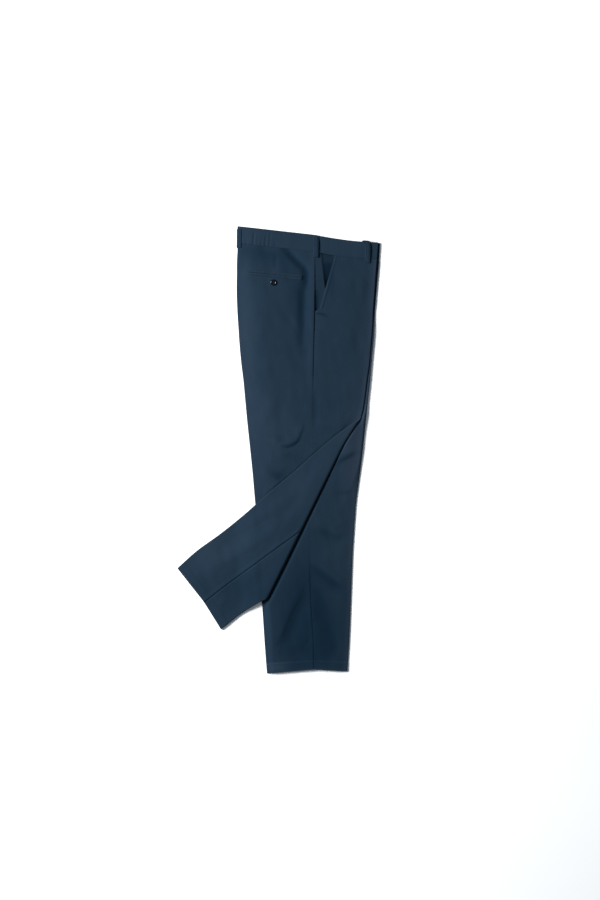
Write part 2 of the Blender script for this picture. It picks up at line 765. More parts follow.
def lay_left(flat: dict[str, Array]) -> Array:
    """Settles points of the left half on the table.

    Args:
        flat: the points, as Half.spread_out gives them.

    Returns:
        Their places in millimetres, one row each.
    """
    x, y = flat["x"], flat["y"]
    lift = flat["inner"] * (loft(x, y) + shin_relief(x, y)) + flat.get("raised", 0.0)
    return np.stack([x, y, flat["h"] + lift], axis=-1)


def lay_right(flat: dict[str, Array]) -> Array:
    """Lays points of the right half on the left one, and turns its leg back over the fold line.

    Args:
        flat: the points, as Half.spread_out gives them.

    Returns:
        Their places in millimetres, one row each.
    """
    x, y, h, inner = flat["x"], flat["y"], flat["h"], flat["inner"]
    raised = flat.get("raised", 0.0)
    past = past_fold(x, y)
    thigh_z = h + loft(x, y) + (1 - inner) * thigh_relief(x, y) + raised * (1 - inner)
    foot_x, foot_y = x - past * FOLD_ACROSS[0], y - past * FOLD_ACROSS[1]
    angle = np.clip(past / ROLL_RADIUS, 0, math.pi)
    out = (ROLL_AXIS - h) * np.sin(angle) ** ROLL_SQUARE
    roll_x, roll_y = foot_x + FOLD_ACROSS[0] * out, foot_y + FOLD_ACROSS[1] * out
    open_share = mix(*ROLL_OPEN, smooth(FOLD_CORNER - along_fold(x, y), 0, ROLL_OPEN_RUN))
    pressed = 2 * ROLL_INSIDE * (1 - open_share)
    turned = np.sign(np.cos(angle)) * np.abs(np.cos(angle)) ** ROLL_SQUARE
    roll_z = ROLL_AXIS - (ROLL_AXIS - h) * turned + loft(foot_x, foot_y) - pressed * (1 - turned) / 2
    past_roll = past - math.pi * ROLL_RADIUS
    flap_x = foot_x - FOLD_ACROSS[0] * past_roll
    flap_y = foot_y - FOLD_ACROSS[1] * past_roll
    sunk = mix(pressed, 2 * ROLL_INSIDE - FLAP_AIR, smooth(past_roll, 0, SETTLE_RUN))
    drop = smooth(LEFT.edges[Side.BACK](flap_y) - flap_x, DROP_START, DROP_START + DROP_RUN)
    rest = mix(loft(flap_x, flap_y) - sunk, -(2 * ROLL_AXIS - RIGHT_TOP), drop)
    flap_z = 2 * ROLL_AXIS - h + rest + inner * (flap_relief(flap_x, flap_y, past_roll) + raised)
    thigh, roll = past <= 0, past_roll < 0
    return np.stack(
        [
            np.where(thigh, x, np.where(roll, roll_x, flap_x)),
            np.where(thigh, y, np.where(roll, roll_y, flap_y)),
            np.where(thigh, thigh_z, np.where(roll, roll_z, flap_z)),
        ],
        axis=-1,
    )


def band_middle(half: Half) -> float:
    """Height of the middle of a half's waistband."""
    return RIGHT_TOP + 0.3 - BAND_CLOTH / 2 if half.up > 0 else BAND_CLOTH / 2


def thigh_top(x: Array, y: Array) -> Array:
    """Height of the right half's upper face at a place."""
    return RIGHT_TOP + loft(x, y) + thigh_relief(x, y)


@dataclass(frozen=True)
class Finish:
    """A material, by the numbers that its surface needs."""

    name: str
    colour: str
    deep: str
    worn: str
    roughness: float
    specular: float
    sheen: float = 0.0
    coat: float = 0.0


# Cotton twill, woven and piece dyed: a dull face with a soft bloom where it's seen at a slant
TWILL_FINISH = Finish("navy_cotton_twill", "1a2936", "071b29", "303b4a", 0.92, 0.03, sheen=0.03)
# Core spun polyester thread, twisted: a little glossier and paler than the cloth
THREAD_FINISH = Finish("navy_sewing_thread", "162330", "0d1924", "223142", 0.6, 0.06)
# Cast polyester resin, polished: nearly black, with sharp highlights
BUTTON_FINISH = Finish("dark_resin_button", "020a14", "01050b", "0c141e", 0.14, 0.2, coat=0.12)


def add_node(tree: bpy.types.NodeTree, kind: str, **settings: object) -> bpy.types.Node:
    """Adds a shader node.

    Args:
        tree: the material's node tree.
        kind: the node's type, such as "ShaderNodeMix".
        **settings: a property of the node by its name, or for an input its name or number after "in_" with
            underscores for spaces, and an output socket or a value.

    Returns:
        The node.
    """
    node = tree.nodes.new(kind)
    inputs = {}
    for name, value in settings.items():
        if name.startswith("in_"):
            inputs[name[3:]] = value
        else:
            setattr(node, name, value)
    for name, value in inputs.items():
        socket = node.inputs[int(name)] if name.isdigit() else node.inputs[name.replace("_", " ")]
        if isinstance(value, bpy.types.NodeSocket):
            tree.links.new(value, socket)
        else:
            socket.default_value = value
    return node


class Dye:
    """Makes the materials of the garment from their finishes."""

    UV_SCALE = 0.9  # share of a metre that the cloth's own map gives to one unit
    WALE = 1.3  # twill lines, about twice as coarse as the real 0.6 mm, so that they show close up
    SLUB = 4.5  # thick places in the yarn

    def twill(self, finish: Finish) -> bpy.types.Material:
        """Makes woven twill that follows the cloth's own map.

        Args:
            finish: its colours and gloss.

        Returns:
            The material.
        """
        material, tree, shader = self.start(finish)
        cloth = add_node(tree, "ShaderNodeUVMap", uv_map="cloth")
        metre = 1000 / self.UV_SCALE
        flat = add_node(tree, "ShaderNodeMapping", in_Vector=cloth.outputs[0], in_Scale=(metre,) * 3)
        slant = add_node(
            tree,
            "ShaderNodeMapping",
            in_Vector=flat.outputs[0],
            in_Rotation=(0, 0, math.radians(63)),
        )
        wales = add_node(
            tree,
            "ShaderNodeTexWave",
            in_Vector=slant.outputs[0],
            in_Scale=math.pi / 10 / self.WALE,
            in_Distortion=0.6,
            in_Detail=1.0,
            in_Detail_Scale=0.4,
        )
        drawn = add_node(tree, "ShaderNodeMapping", in_Vector=flat.outputs[0], in_Scale=(1, 0.12, 1))
        slubs = add_node(
            tree, "ShaderNodeTexNoise", in_Vector=drawn.outputs[0], in_Scale=1 / self.SLUB, in_Detail=3.0
        )
        clouds = add_node(
            tree, "ShaderNodeTexNoise", in_Vector=flat.outputs[0], in_Scale=1 / 55, in_Detail=4.0
        )
        fuzz = add_node(
            tree, "ShaderNodeTexNoise", in_Vector=flat.outputs[0], in_Scale=1 / 1.6, in_Detail=2.0
        )
        wear = add_node(tree, "ShaderNodeAttribute", attribute_name="wear")
        cloudy = add_node(
            tree,
            "ShaderNodeMapRange",
            in_Value=clouds.outputs[0],
            in_From_Min=0.32,
            in_From_Max=0.68,
        )
        base = self.blend(tree, cloudy.outputs[0], linear_colour(finish.colour), linear_colour(finish.deep), 0.16)
        streaky = add_node(
            tree, "ShaderNodeMapRange", in_Value=slubs.outputs[0], in_From_Min=0.5, in_From_Max=0.8
        )
        base = self.blend(tree, streaky.outputs[0], base, linear_colour(finish.worn), 0.07)
        base = self.blend(tree, wales.outputs[1], base, linear_colour(finish.deep), 0.12)
        tone = add_node(tree, "ShaderNodeAttribute", attribute_name="tone")
        faded = add_node(tree, "ShaderNodeMath", operation="MAXIMUM", in_0=tone.outputs["Fac"], in_1=0.0)
        fresh = add_node(
            tree,
            "ShaderNodeMath",
            operation="MAXIMUM",
            in_0=add_node(
                tree, "ShaderNodeMath", operation="MULTIPLY", in_0=tone.outputs["Fac"], in_1=-1.0
            ).outputs[0],
            in_1=0.0,
        )
        base = self.blend(tree, faded.outputs[0], base, linear_colour(finish.worn), 0.4)
        base = self.blend(tree, fresh.outputs[0], base, linear_colour(finish.deep), 0.8)
        frayed = add_node(
            tree,
            "ShaderNodeMath",
            operation="MULTIPLY",
            in_0=wear.outputs["Fac"],
            in_1=add_node(
                tree, "ShaderNodeMapRange", in_Value=fuzz.outputs[0], in_From_Min=0.35, in_From_Max=0.7
            ).outputs[0],
        )
        base = self.blend(tree, frayed.outputs[0], base, linear_colour(finish.worn), 0.45)
        crevice = add_node(tree, "ShaderNodeAttribute", attribute_name="crevice")
        base = self.blend(tree, crevice.outputs["Fac"], base, linear_colour("03182a"), 0.8)
        tree.links.new(base, shader.inputs["Base Color"])
        rough = add_node(
            tree,
            "ShaderNodeMapRange",
            in_Value=clouds.outputs[0],
            in_To_Min=finish.roughness - 0.05,
            in_To_Max=finish.roughness + 0.05,
        )
        tree.links.new(rough.outputs[0], shader.inputs["Roughness"])
        fine = add_node(
            tree, "ShaderNodeBump", in_Strength=0.35, in_Distance=0.0003, in_Height=wales.outputs[1]
        )
        coarse = add_node(
            tree,
            "ShaderNodeBump",
            in_Strength=0.25,
            in_Distance=0.0004,
            in_Height=slubs.outputs[0],
            in_Normal=fine.outputs[0],
        )
        tree.links.new(coarse.outputs[0], shader.inputs["Normal"])
        return material

    def thread(self, finish: Finish) -> bpy.types.Material:
        """Makes twisted sewing thread.

        Args:
            finish: its colours and gloss.

        Returns:
            The material.
        """
        material, tree, shader = self.start(finish)
        place = add_node(tree, "ShaderNodeTexCoord")
        twist = add_node(
            tree,
            "ShaderNodeTexNoise",
            in_Vector=place.outputs["Object"],
            in_Scale=1 / 0.0016,
            in_Detail=2.0,
        )
        base = self.blend(tree, twist.outputs[0], linear_colour(finish.deep), linear_colour(finish.worn), 1.0)
        tree.links.new(base, shader.inputs["Base Color"])
        bump = add_node(
            tree, "ShaderNodeBump", in_Strength=0.4, in_Distance=0.0002, in_Height=twist.outputs[0]
        )
        tree.links.new(bump.outputs[0], shader.inputs["Normal"])
        return material

    def resin(self, finish: Finish) -> bpy.types.Material:
        """Makes polished resin with faint streaks in it.

        Args:
            finish: its colours and gloss.

        Returns:
            The material.
        """
        material, tree, shader = self.start(finish)
        place = add_node(tree, "ShaderNodeTexCoord")
        streaks = add_node(
            tree,
            "ShaderNodeTexNoise",
            in_Vector=place.outputs["Object"],
            in_Scale=1 / 0.004,
            in_Detail=3.0,
            in_Distortion=1.2,
        )
        base = self.blend(tree, streaks.outputs[0], linear_colour(finish.deep), linear_colour(finish.worn), 0.5)
        tree.links.new(base, shader.inputs["Base Color"])
        scuffs = add_node(
            tree,
            "ShaderNodeMapRange",
            in_Value=streaks.outputs[0],
            in_To_Min=finish.roughness * 0.7,
            in_To_Max=finish.roughness * 1.6,
        )
        tree.links.new(scuffs.outputs[0], shader.inputs["Roughness"])
        return material

    def start(self, finish: Finish) -> tuple[bpy.types.Material, bpy.types.NodeTree, bpy.types.Node]:
        """Makes a material with its shader's constant values set.

        Args:
            finish: its colours and gloss.

        Returns:
            The material, its node tree and its shader.
        """
        material = bpy.data.materials.new(finish.name)
        material.use_nodes = True
        material.diffuse_color = linear_colour(finish.colour)
        tree = material.node_tree
        shader = tree.nodes["Principled BSDF"]
        shader.inputs["Base Color"].default_value = linear_colour(finish.colour)
        shader.inputs["Roughness"].default_value = finish.roughness
        shader.inputs["Specular IOR Level"].default_value = finish.specular
        shader.inputs["Sheen Weight"].default_value = finish.sheen
        shader.inputs["Sheen Roughness"].default_value = 0.5
        shader.inputs["Coat Weight"].default_value = finish.coat
        shader.inputs["Coat Roughness"].default_value = 0.06
        return material, tree, shader

    @staticmethod
    def blend(
        tree: bpy.types.NodeTree, share: object, first: object, second: object, most: float
    ) -> bpy.types.NodeSocket:
        """Mixes two colours.

        Args:
            tree: the material's node tree.
            share: a socket that says how much of the second colour there is.
            first: a colour or a socket.
            second: a colour or a socket.
            most: the most that the second colour may have.

        Returns:
            The socket of the mixed colour.
        """
        amount = add_node(tree, "ShaderNodeMath", operation="MULTIPLY", in_0=share, in_1=most)
        node = add_node(
            tree, "ShaderNodeMix", data_type="RGBA", in_0=amount.outputs[0], in_6=first, in_7=second
        )
        return node.outputs[2]


@dataclass
class Placed:
    """Where a piece's points lie, in millimetres, with its own map and its wear."""

    points: Array
    cloth_map: Array
    wear: Array
    crevice: Array | None = None
    tone: Array | None = None


def finish_piece(
    bm: bmesh.types.BMesh, name: str, material: bpy.types.Material, nodes: Sequence[str]
) -> bpy.types.Object:
    """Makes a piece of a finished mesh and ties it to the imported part.

    Args:
        bm: the mesh, in metres, which is freed.
        name: the piece's name.
        material: its material.
        nodes: the CAD nodes that it stands for.

    Returns:
        The piece.
    """
    if bm.calc_volume(signed=True) < 0:
        bmesh.ops.reverse_faces(bm, faces=bm.faces[:])
    for edge in bm.edges:
        edge.smooth = edge.calc_face_angle(0.0) < 0.9
    for face in bm.faces:
        face.smooth = True
    mesh = bpy.data.meshes.new(name)
    bm.to_mesh(mesh)
    bm.free()
    mesh.materials.append(material)
    piece = bpy.data.objects.new(name, mesh)
    bpy.context.scene.collection.objects.link(piece)
    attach(piece, "root")
    if nodes:
        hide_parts(*nodes)
    LOG.info("%s: %d faces", name, len(mesh.polygons))
    return piece


def wall_of_cloth(
    name: str,
    columns: Array,
    rows: Array,
    place: Callable[[Array, Array, Array], Placed],
    material: bpy.types.Material,
    nodes: Sequence[str],
) -> bpy.types.Object:
    """Makes a closed wall of cloth from a flat grid that place then lays.

    Args:
        name: the piece's name.
        columns: where the grid's columns lie across the cloth.
        rows: where its rows lie along it.
        place: gives each point its place from its column, its row, and 1 on the outer face or 0 on the inner.
        material: its material.
        nodes: the CAD nodes that it stands for.

    Returns:
        The piece.
    """
    bm = bmesh.new()
    across, down = len(columns) - 1, len(rows) - 1
    bmesh.ops.create_grid(bm, x_segments=across, y_segments=down, size=1.0)
    bmesh.ops.solidify(bm, geom=bm.faces[:], thickness=0.5)
    flat = np.array([vert.co for vert in bm.verts])
    column = np.rint((flat[:, 0] + 1) / 2 * across).astype(int)
    row = np.rint((flat[:, 1] + 1) / 2 * down).astype(int)
    high = np.abs(flat[:, 2]) < 0.25
    laid = place(np.asarray(columns)[column], np.asarray(rows)[row], high.astype(float))
    for vert, point in zip(bm.verts, laid.points * MM):
        vert.co = point
    piece = finish_piece(bm, name, material, nodes)
    mesh = piece.data
    tone = patchiness(laid.points[:, 0], laid.points[:, 1])
    tone = tone if laid.tone is None else np.clip(tone + laid.tone, -1, 1)
    crevice = np.zeros(len(laid.wear)) if laid.crevice is None else laid.crevice
    for label, values in (("wear", laid.wear), ("tone", tone), ("crevice", crevice)):
        attribute = mesh.attributes.new(label, "FLOAT", "POINT")
        attribute.data.foreach_set("value", values.astype(np.float32))
    corners = np.empty(len(mesh.loops), dtype=np.int32)
    mesh.loops.foreach_get("vertex_index", corners)
    cloth_map = (laid.cloth_map * MM + 0.55) * Dye.UV_SCALE * np.array([1.0, 0.95])
    layer = mesh.uv_layers.new(name="cloth")
    layer.data.foreach_set("uv", cloth_map[corners].astype(np.float32).ravel())
    return piece


def spaced(*stretches: tuple[float, float, int]) -> Array:
    """Joins stretches of evenly spaced values, each given as (from, to, steps)."""
    values = [np.linspace(start, end, steps + 1)[1:] for start, end, steps in stretches]
    return np.concatenate([[stretches[0][0]], *values])


@dataclass
class Panel:
    """One panel of one half: its outer layer, its pressed edge and its inner layer up to the inseam."""

    half: Half
    side: Side
    columns: Array
    rows: Array
    node: str
    cut: tuple[float, float]
    area: float
    rests_on: tuple[str, ...]
    piece: bpy.types.Object | None = field(default=None, init=False)

    def surface(self, seam_y: Array, along: Array, lift: Array) -> Array:
        """Places points on or above the panel's outer face.

        Args:
            seam_y: the points' rows.
            along: the points' places across, as in Half.spread_out.
            lift: how far above the outer face they lie.

        Returns:
            Their places in millimetres.
        """
        flat = self.half.spread_out(self.side, seam_y, along, CLOTH / 2 + lift)
        flat["raised"] = self.raised(seam_y, along, flat)
        return lay_right(flat) if self.half.up > 0 else lay_left(flat)

    def raised(self, seam_y: Array, along: Array, flat: dict[str, Array]) -> Array:
        """Works out the low steps and ripples of hem and inseam, on the faces that can be seen.

        Args:
            seam_y: the points' rows.
            along: the points' places across.
            flat: the points, as Half.spread_out gives them.

        Returns:
            How far each point is raised.
        """
        up_the_leg = seam_y - self.half.hem
        seen = 0.45 if self.half.up > 0 else 0.8
        turned_in = seen * smooth(HEM_DEPTH + 1.2 - up_the_leg, 0, 2.4)
        stitched = -0.4 * seen * np.exp(-(((up_the_leg - HEM_DEPTH - 1.6) / 1.6) ** 2))
        to_inseam = np.abs(flat["x"] - self.half.inseam(flat["y"]))
        higher = Side.FRONT if self.half.up > 0 else Side.BACK
        rise = 1.0 if self.half.up > 0 else mix(0.15, 0.5, smooth(-260 - flat["y"], 0, 60))
        lapped = rise * smooth(11 - to_inseam, 0, 9) if self.side is higher else 0.0
        groove = 0.8 if self.half.up > 0 else mix(0.1, 0.5, smooth(-260 - flat["y"], 0, 60))
        ripple = pucker(to_inseam, seam_y, 5.0, 11.0) - groove * np.exp(-((to_inseam / 1.2) ** 2))
        inside = smooth(flat["inner"], 0.7, 1.0)
        if self.half.up < 0:
            return inside * (turned_in + stitched + lapped + ripple)
        from_start = np.abs(flat["x"] - self.half.start(self.side, flat["y"]))
        outside = 1 - inside
        seamed = -0.5 * mix(0.25, 1.0, SEAM_RIDGE(flat["y"])) * np.exp(-((from_start / 1.1) ** 2))
        if self.side is Side.FRONT:
            mouth = smooth(flat["y"], MOUTH_LOW[1] - 4, MOUTH_LOW[1] + 8)
            rolled = mix(1.0, 0.35, smooth(flat["y"], 385, 430))
            seamed = seamed + mouth * rolled * np.exp(-(((from_start - 3.6) / 3.4) ** 2))
        return turned_in + stitched + inside * (lapped + ripple) + outside * seamed

    def place(self, along: Array, seam_y: Array, high: Array) -> Placed:
        """Lays the panel's grid.

        Args:
            along: the points' places across.
            seam_y: their rows.
            high: 1 on the outer face, 0 on the inner.

        Returns:
            The laid points, the cloth's own map and its wear.
        """
        offset = mix(CLOTH / 2 - TWILL, CLOTH / 2, high)
        flat = self.half.spread_out(self.side, seam_y, along, offset)
        flat["raised"] = self.raised(seam_y, along, flat)
        points = lay_right(flat) if self.half.up > 0 else lay_left(flat)
        creased = smooth(SEAT_CURVE_TOP - seam_y, 0, 60) if self.side is Side.BACK else 1.0
        near_crease = np.exp(-(((along - 1.5) / 0.55) ** 2)) * creased
        near_hem = np.exp(-(((seam_y - self.half.hem) / 2.5) ** 2))
        near_seam = 0.5 * np.exp(-((along * 120 / 3.0) ** 2))
        hem_line = np.exp(-(((seam_y - self.half.hem - HEM_DEPTH + 0.5) / 1.6) ** 2))
        hem_line = hem_line * (mix(0.2, 1.0, smooth(50 - flat["x"], 0, 50)) if self.half.up < 0 else 0.08)
        inside = smooth(flat["inner"], 0.7, 1.0)
        beside_inseam = np.abs(flat["x"] - self.half.inseam(flat["y"])) - 2.4
        pressed_open = 0.9 * inside * np.exp(-((beside_inseam / 1.2) ** 2))
        if self.half.up < 0 or self.side is Side.FRONT:
            pressed_open = 0.0
        wear = np.clip(near_crease * 0.8 + near_hem + near_seam + hem_line + pressed_open, 0, 1) * high
        own_map = np.stack([self.side.value * flat["across"], seam_y], axis=-1)
        from_seam = mix(
            np.abs(flat["x"] - self.half.start(self.side, flat["y"])),
            np.abs(flat["x"] - self.half.inseam(flat["y"])),
            inside,
        )
        if self.half.up > 0:
            strength = mix(0.7 * smooth(SEAM_RIDGE(flat["y"]), 0.3, 1.0), 1.0, inside)
        else:
            strength = mix(0.1, 0.4, smooth(-280 - flat["y"], 0, 40))
        crevice = strength * np.exp(-((from_seam / 1.0) ** 2))
        if self.half.up > 0 and self.side is Side.BACK:
            slit = Crease(POCKET_MOUTH, 1.0, 1.0, 1.0).height(flat["x"], flat["y"])
            crevice = np.maximum(crevice, np.clip(slit * 2.0, 0, 1) * (1 - inside))
        return Placed(points, own_map, wear, crevice, self.shade(points, flat))

    def shade(self, points: Array, flat: dict[str, Array]) -> Array:
        """Works out where the panel has kept its dye in creases or lost some along its pressed edge.

        Args:
            points: the laid points.
            flat: the same points, as Half.spread_out gives them.

        Returns:
            A tone for each point, to add to the patches.
        """
        from_edge = np.abs(self.half.edges[self.side](flat["y"]) - flat["x"])
        pressed = 0.9 * np.exp(-((from_edge / 10) ** 2)) if self.side is Side.FRONT else 0.0
        if self.half.up < 0:
            return creases_at(SHIN_SHADES, points[:, 0], points[:, 1]) + pressed
        thigh = past_fold(flat["x"], flat["y"]) <= 0
        return np.where(thigh, creases_at(THIGH_SHADES, points[:, 0], points[:, 1]) + pressed, 0.0)

    def make(self, material: bpy.types.Material) -> bpy.types.Object:
        """Builds the panel.

        Args:
            material: the twill.

        Returns:
            The piece.
        """
        name = f"{self.node}_twill"
        self.piece = wall_of_cloth(name, self.columns, self.rows, self.place, material, [self.node])
        return self.piece

    def declare(self, with_pieces: Sequence[bpy.types.Object]) -> None:
        """Says that the panel is a sheet of cloth, with what is sewn on it."""
        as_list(self.rests_on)


@dataclass(frozen=True)
class StitchStyle:
    """How a row of stitches looks, in millimetres."""

    pitch: float = 3.2
    length: float = 2.5
    width: float = 0.55
    height: float = 0.4
    crosswise: bool = False


TOPSTITCH = StitchStyle()
BARTACK = StitchStyle(pitch=0.75, length=2.6, width=0.6, height=0.7, crosswise=True)
BLINDSTITCH = StitchStyle(pitch=7.0, length=1.0, width=0.5, height=0.3)


class Stitching:
    """Rows of stitches, gathered into one piece."""

    def __init__(self, name: str) -> None:
        """Starts an empty piece.

        Args:
            name: its name.
        """
        self.name = name
        self.bm = bmesh.new()

    def row(self, surface: Callable[[Array, Array], Array], path: Array, style: StitchStyle = TOPSTITCH) -> None:
        """Sews one row.

        Args:
            surface: gives points in millimetres from path positions and how far above the cloth they lie.
            path: values from 0 to 1 that surface understands, close together.
            style: how the row looks.
        """
        low, above = surface(path, np.zeros(len(path))), surface(path, np.ones(len(path)))
        lengths = np.concatenate([[0], np.cumsum(np.linalg.norm(np.diff(low, axis=0), axis=1))])
        count = max(1, int(lengths[-1] / style.pitch))
        spots = (np.arange(count) + 0.5) / count * lengths[-1]
        for spot in spots:
            centre = self.read(lengths, low, spot)
            ahead = self.read(lengths, low, min(spot + 0.6, lengths[-1]))
            behind = self.read(lengths, low, max(spot - 0.6, 0))
            along = Vector(ahead - behind).normalized()
            normal = Vector(self.read(lengths, above, spot) - centre).normalized()
            across = normal.cross(along).normalized()
            if style.crosswise:
                along, across = across, along
            stitch = Matrix.Identity(4)
            for column, axis, size in (
                (0, along, style.length),
                (1, across, style.width),
                (2, normal, style.height),
            ):
                stitch.col[column] = (*(axis * size * MM / 2), 0)
            stitch.col[3] = (*(centre + np.array(normal) * 0.05) * 1.0 * MM, 1)
            bmesh.ops.create_icosphere(self.bm, subdivisions=1, radius=1.0, matrix=stitch)

    @staticmethod
    def read(lengths: Array, points: Array, spot: float) -> Array:
        """The point at a distance along a line."""
        return np.array([np.interp(spot, lengths, points[:, axis]) for axis in range(3)])

    def make(self, material: bpy.types.Material) -> bpy.types.Object:
        """Finishes the piece.

        Args:
            material: the thread.

        Returns:
            The piece.
        """
        return finish_piece(self.bm, self.name, material, [])


@dataclass
class Waistband:
    """The waistband of one half: a folded, interfaced strip that turns round the seat fold."""

    half: Half
    top: float
    seat_depth: float
    node: str
    gather_lines: tuple[tuple[float, float, float], ...] = (
        (-87.6, 0.4, 0.8),
        (-81.6, 0.5, 0.75),
        (-75.6, 0.8, 0.4),
        (-58.8, 1.1, 0.7),
        (-49, 0.4, 0.5),
        (-39.6, 0.5, 0.45),
        (-30, 0.9, 0.65),
        (-20.4, 0.7, 0.75),
        (-6, 0.3, 0.4),
    )

    def gathered(self, x: Array, up: Array) -> Array:
        """Works out the gathers that the elastic makes, uneven in depth and height.

        Args:
            x: places across.
            up: 0 at the band's lower seam to 1 at its top.

        Returns:
            How far the outer face rises or sinks.
        """
        total = np.zeros(np.shape(x))
        for place, depth, tall in self.gather_lines:
            fade = smooth(tall + 0.15 - up, 0, 0.35)
            lean = place + 3 * (up - 0.5)
            total = total - depth * fade * np.exp(-(((x - lean) / 2.1) ** 2))
        swell = 0.55 * smooth(x, -98, -80) * smooth(-4 - x, 0, 20) * smooth(1.1 - up, 0, 0.9)
        return total + swell

    def surface(self, across: Array, up: Array, offset: Array) -> Array:
        """Places points of the band.

        Args:
            across: 0 to 1 round the seat fold, 1 to 2 from it to the side seam, 2 to 3 on to the fly.
            up: 0 at the lower seam to 1 at the top.
            offset: distance out from the middle of the band.

        Returns:
            The points in millimetres.
        """
        half = self.half
        bend = self.seat_depth - BAND_CLOTH / 2
        seam_y = mix(half.waist, self.top, up)
        share_back = np.clip(2 - across, 0, 1)
        y_back = half.row(Side.BACK, seam_y, share_back)
        share_front = np.clip(across - 2, 0, 1)
        y_front = half.row(Side.FRONT, seam_y, share_front)
        y = np.where(across <= 2, y_back, y_front)
        fold_x = half.edges[Side.BACK](y) + bend
        angle = (1 - np.clip(across, 0, 1)) * math.pi / 2
        x_edge = fold_x - (bend + offset) * np.sin(angle)
        h_edge = -half.up * (bend - (bend + offset) * np.cos(angle))
        seam = half.outseam(y)
        x_flat = np.where(across <= 2, mix(seam, fold_x, share_back), mix(seam, half.edges[Side.FRONT](y), share_front))
        lift = np.zeros(np.shape(x_flat))
        if half.up > 0:
            lift = self.gathered(x_flat, up) * smooth(offset, -0.2, 0.6) + loft(x_flat, y)
            lift = lift + 0.5 * RUMPLE.height(x_flat, y) * smooth(offset, -0.2, 0.6)
        on_edge = across < 1
        x = np.where(on_edge, x_edge, x_flat)
        h = np.where(on_edge, h_edge, half.up * offset + lift)
        return np.stack([x, y, band_middle(half) + h], axis=-1)

    def place(self, across: Array, up: Array, high: Array) -> Placed:
        """Lays the band's grid, rounded along its folded top and pressed lower edge.

        Args:
            across: the points' places across.
            up: their places up the band.
            high: 1 on the outer face, 0 on the inner.

        Returns:
            The laid points, the cloth's own map and its wear.
        """
        from_top = np.clip((1 - up) * 40 / 1.3, 0, 1)
        from_low = np.clip(up * 40 / 0.8, 0, 1)
        thick = np.sqrt(1 - (1 - from_top) ** 2) * (0.55 + 0.45 * np.sqrt(1 - (1 - from_low) ** 2))
        thick = np.maximum(thick, 0.12)
        points = self.surface(across, up, (high * 2 - 1) * BAND_CLOTH / 2 * thick)
        own_map = np.stack([mix(-110.0, 240.0, across / 3), 500 + 40 * up], axis=-1)
        wear = high * np.exp(-((from_top / 0.9) ** 2)) * 0.9
        return Placed(points, own_map, wear)

    def make(self, material: bpy.types.Material) -> bpy.types.Object:
        """Builds the band.

        Args:
            material: the twill.

        Returns:
            The piece, declared as a sheet by the garment.
        """
        fine = self.half.up > 0
        across = spaced((0, 1, 5), (1, 2, 130 if fine else 20), (2, 3, 60 if fine else 20))
        up = spaced((0, 0.03, 3), (0.03, 0.95, 16), (0.95, 1, 5))
        return wall_of_cloth(f"{self.node}_twill", across, up, self.place, material, [self.node])


@dataclass
class PocketFacing:
    """The facing that shows in the mouth of the slanted front pocket."""

    node: str = "side_pocket_facing_right"

    def place(self, share: Array, seam_y: Array, high: Array) -> Placed:
        """Lays the facing, level with the back at the side seam and sinking under the front.

        Args:
            share: 0 at the side seam to 1 under the front.
            seam_y: the points' rows.
            high: 1 on the outer face, 0 on the inner.

        Returns:
            The laid points, the cloth's own map and its wear.
        """
        mouth_x = RIGHT.start(Side.FRONT, seam_y)
        seam_x = RIGHT.outseam(seam_y) + SEAM_LINE / 2
        x = mix(seam_x, mouth_x + FACING_UNDER, share)
        y = RIGHT.row(Side.FRONT, seam_y, (x - seam_x) / (RIGHT.edges[Side.FRONT](seam_y) - seam_x))
        sink = FACING_DEPTH * smooth((x - seam_x) / np.maximum(mouth_x - seam_x, 1), 0, 0.9)
        closed = smooth(MOUTH_LOW[1] + 5 - seam_y, 0, 5)
        sink = np.maximum(sink, FACING_DEPTH * closed)
        brink = 102.7 + (465 - y) * 0.116
        fallen = np.clip((x - brink) / np.maximum(mouth_x - brink, 4), 0, 1)
        gaping = (0.25 * smooth(x - brink, -1, 4) + 0.75 * fallen) * smooth(y, 372, 408)
        hollow = -GAPE * gaping
        h = RIGHT_OUTER - sink + mix(CLOTH / 2 - TWILL, CLOTH / 2, high)
        z = h + loft(x, y) + np.minimum(0, thigh_relief(x, y)) + hollow + 0.15 * RUMPLE.height(x, y)
        own_map = np.stack([x, seam_y], axis=-1)
        dim = 0.9 * smooth(x - brink, -1, 5) * smooth(y, 372, 392)
        deep = np.maximum(gaping, dim) * mix(0.3, 1.0, smooth(456 - y, 0, 12))
        tucked = 0.6 * smooth(394 - y, 0, 22) * smooth(14 - (x - seam_x), 0, 10)
        return Placed(np.stack([x, y, z], axis=-1), own_map, np.zeros(len(x)), np.maximum(deep, tucked))

    def make(self, material: bpy.types.Material) -> bpy.types.Object:
        """Builds the facing."""
        rows = np.linspace(WAIST_SEAM - 1.3, MOUTH_LOW[1] - 4, 56)
        return wall_of_cloth(f"{self.node}_twill", np.linspace(0, 1, 30), rows, self.place, material, [self.node])


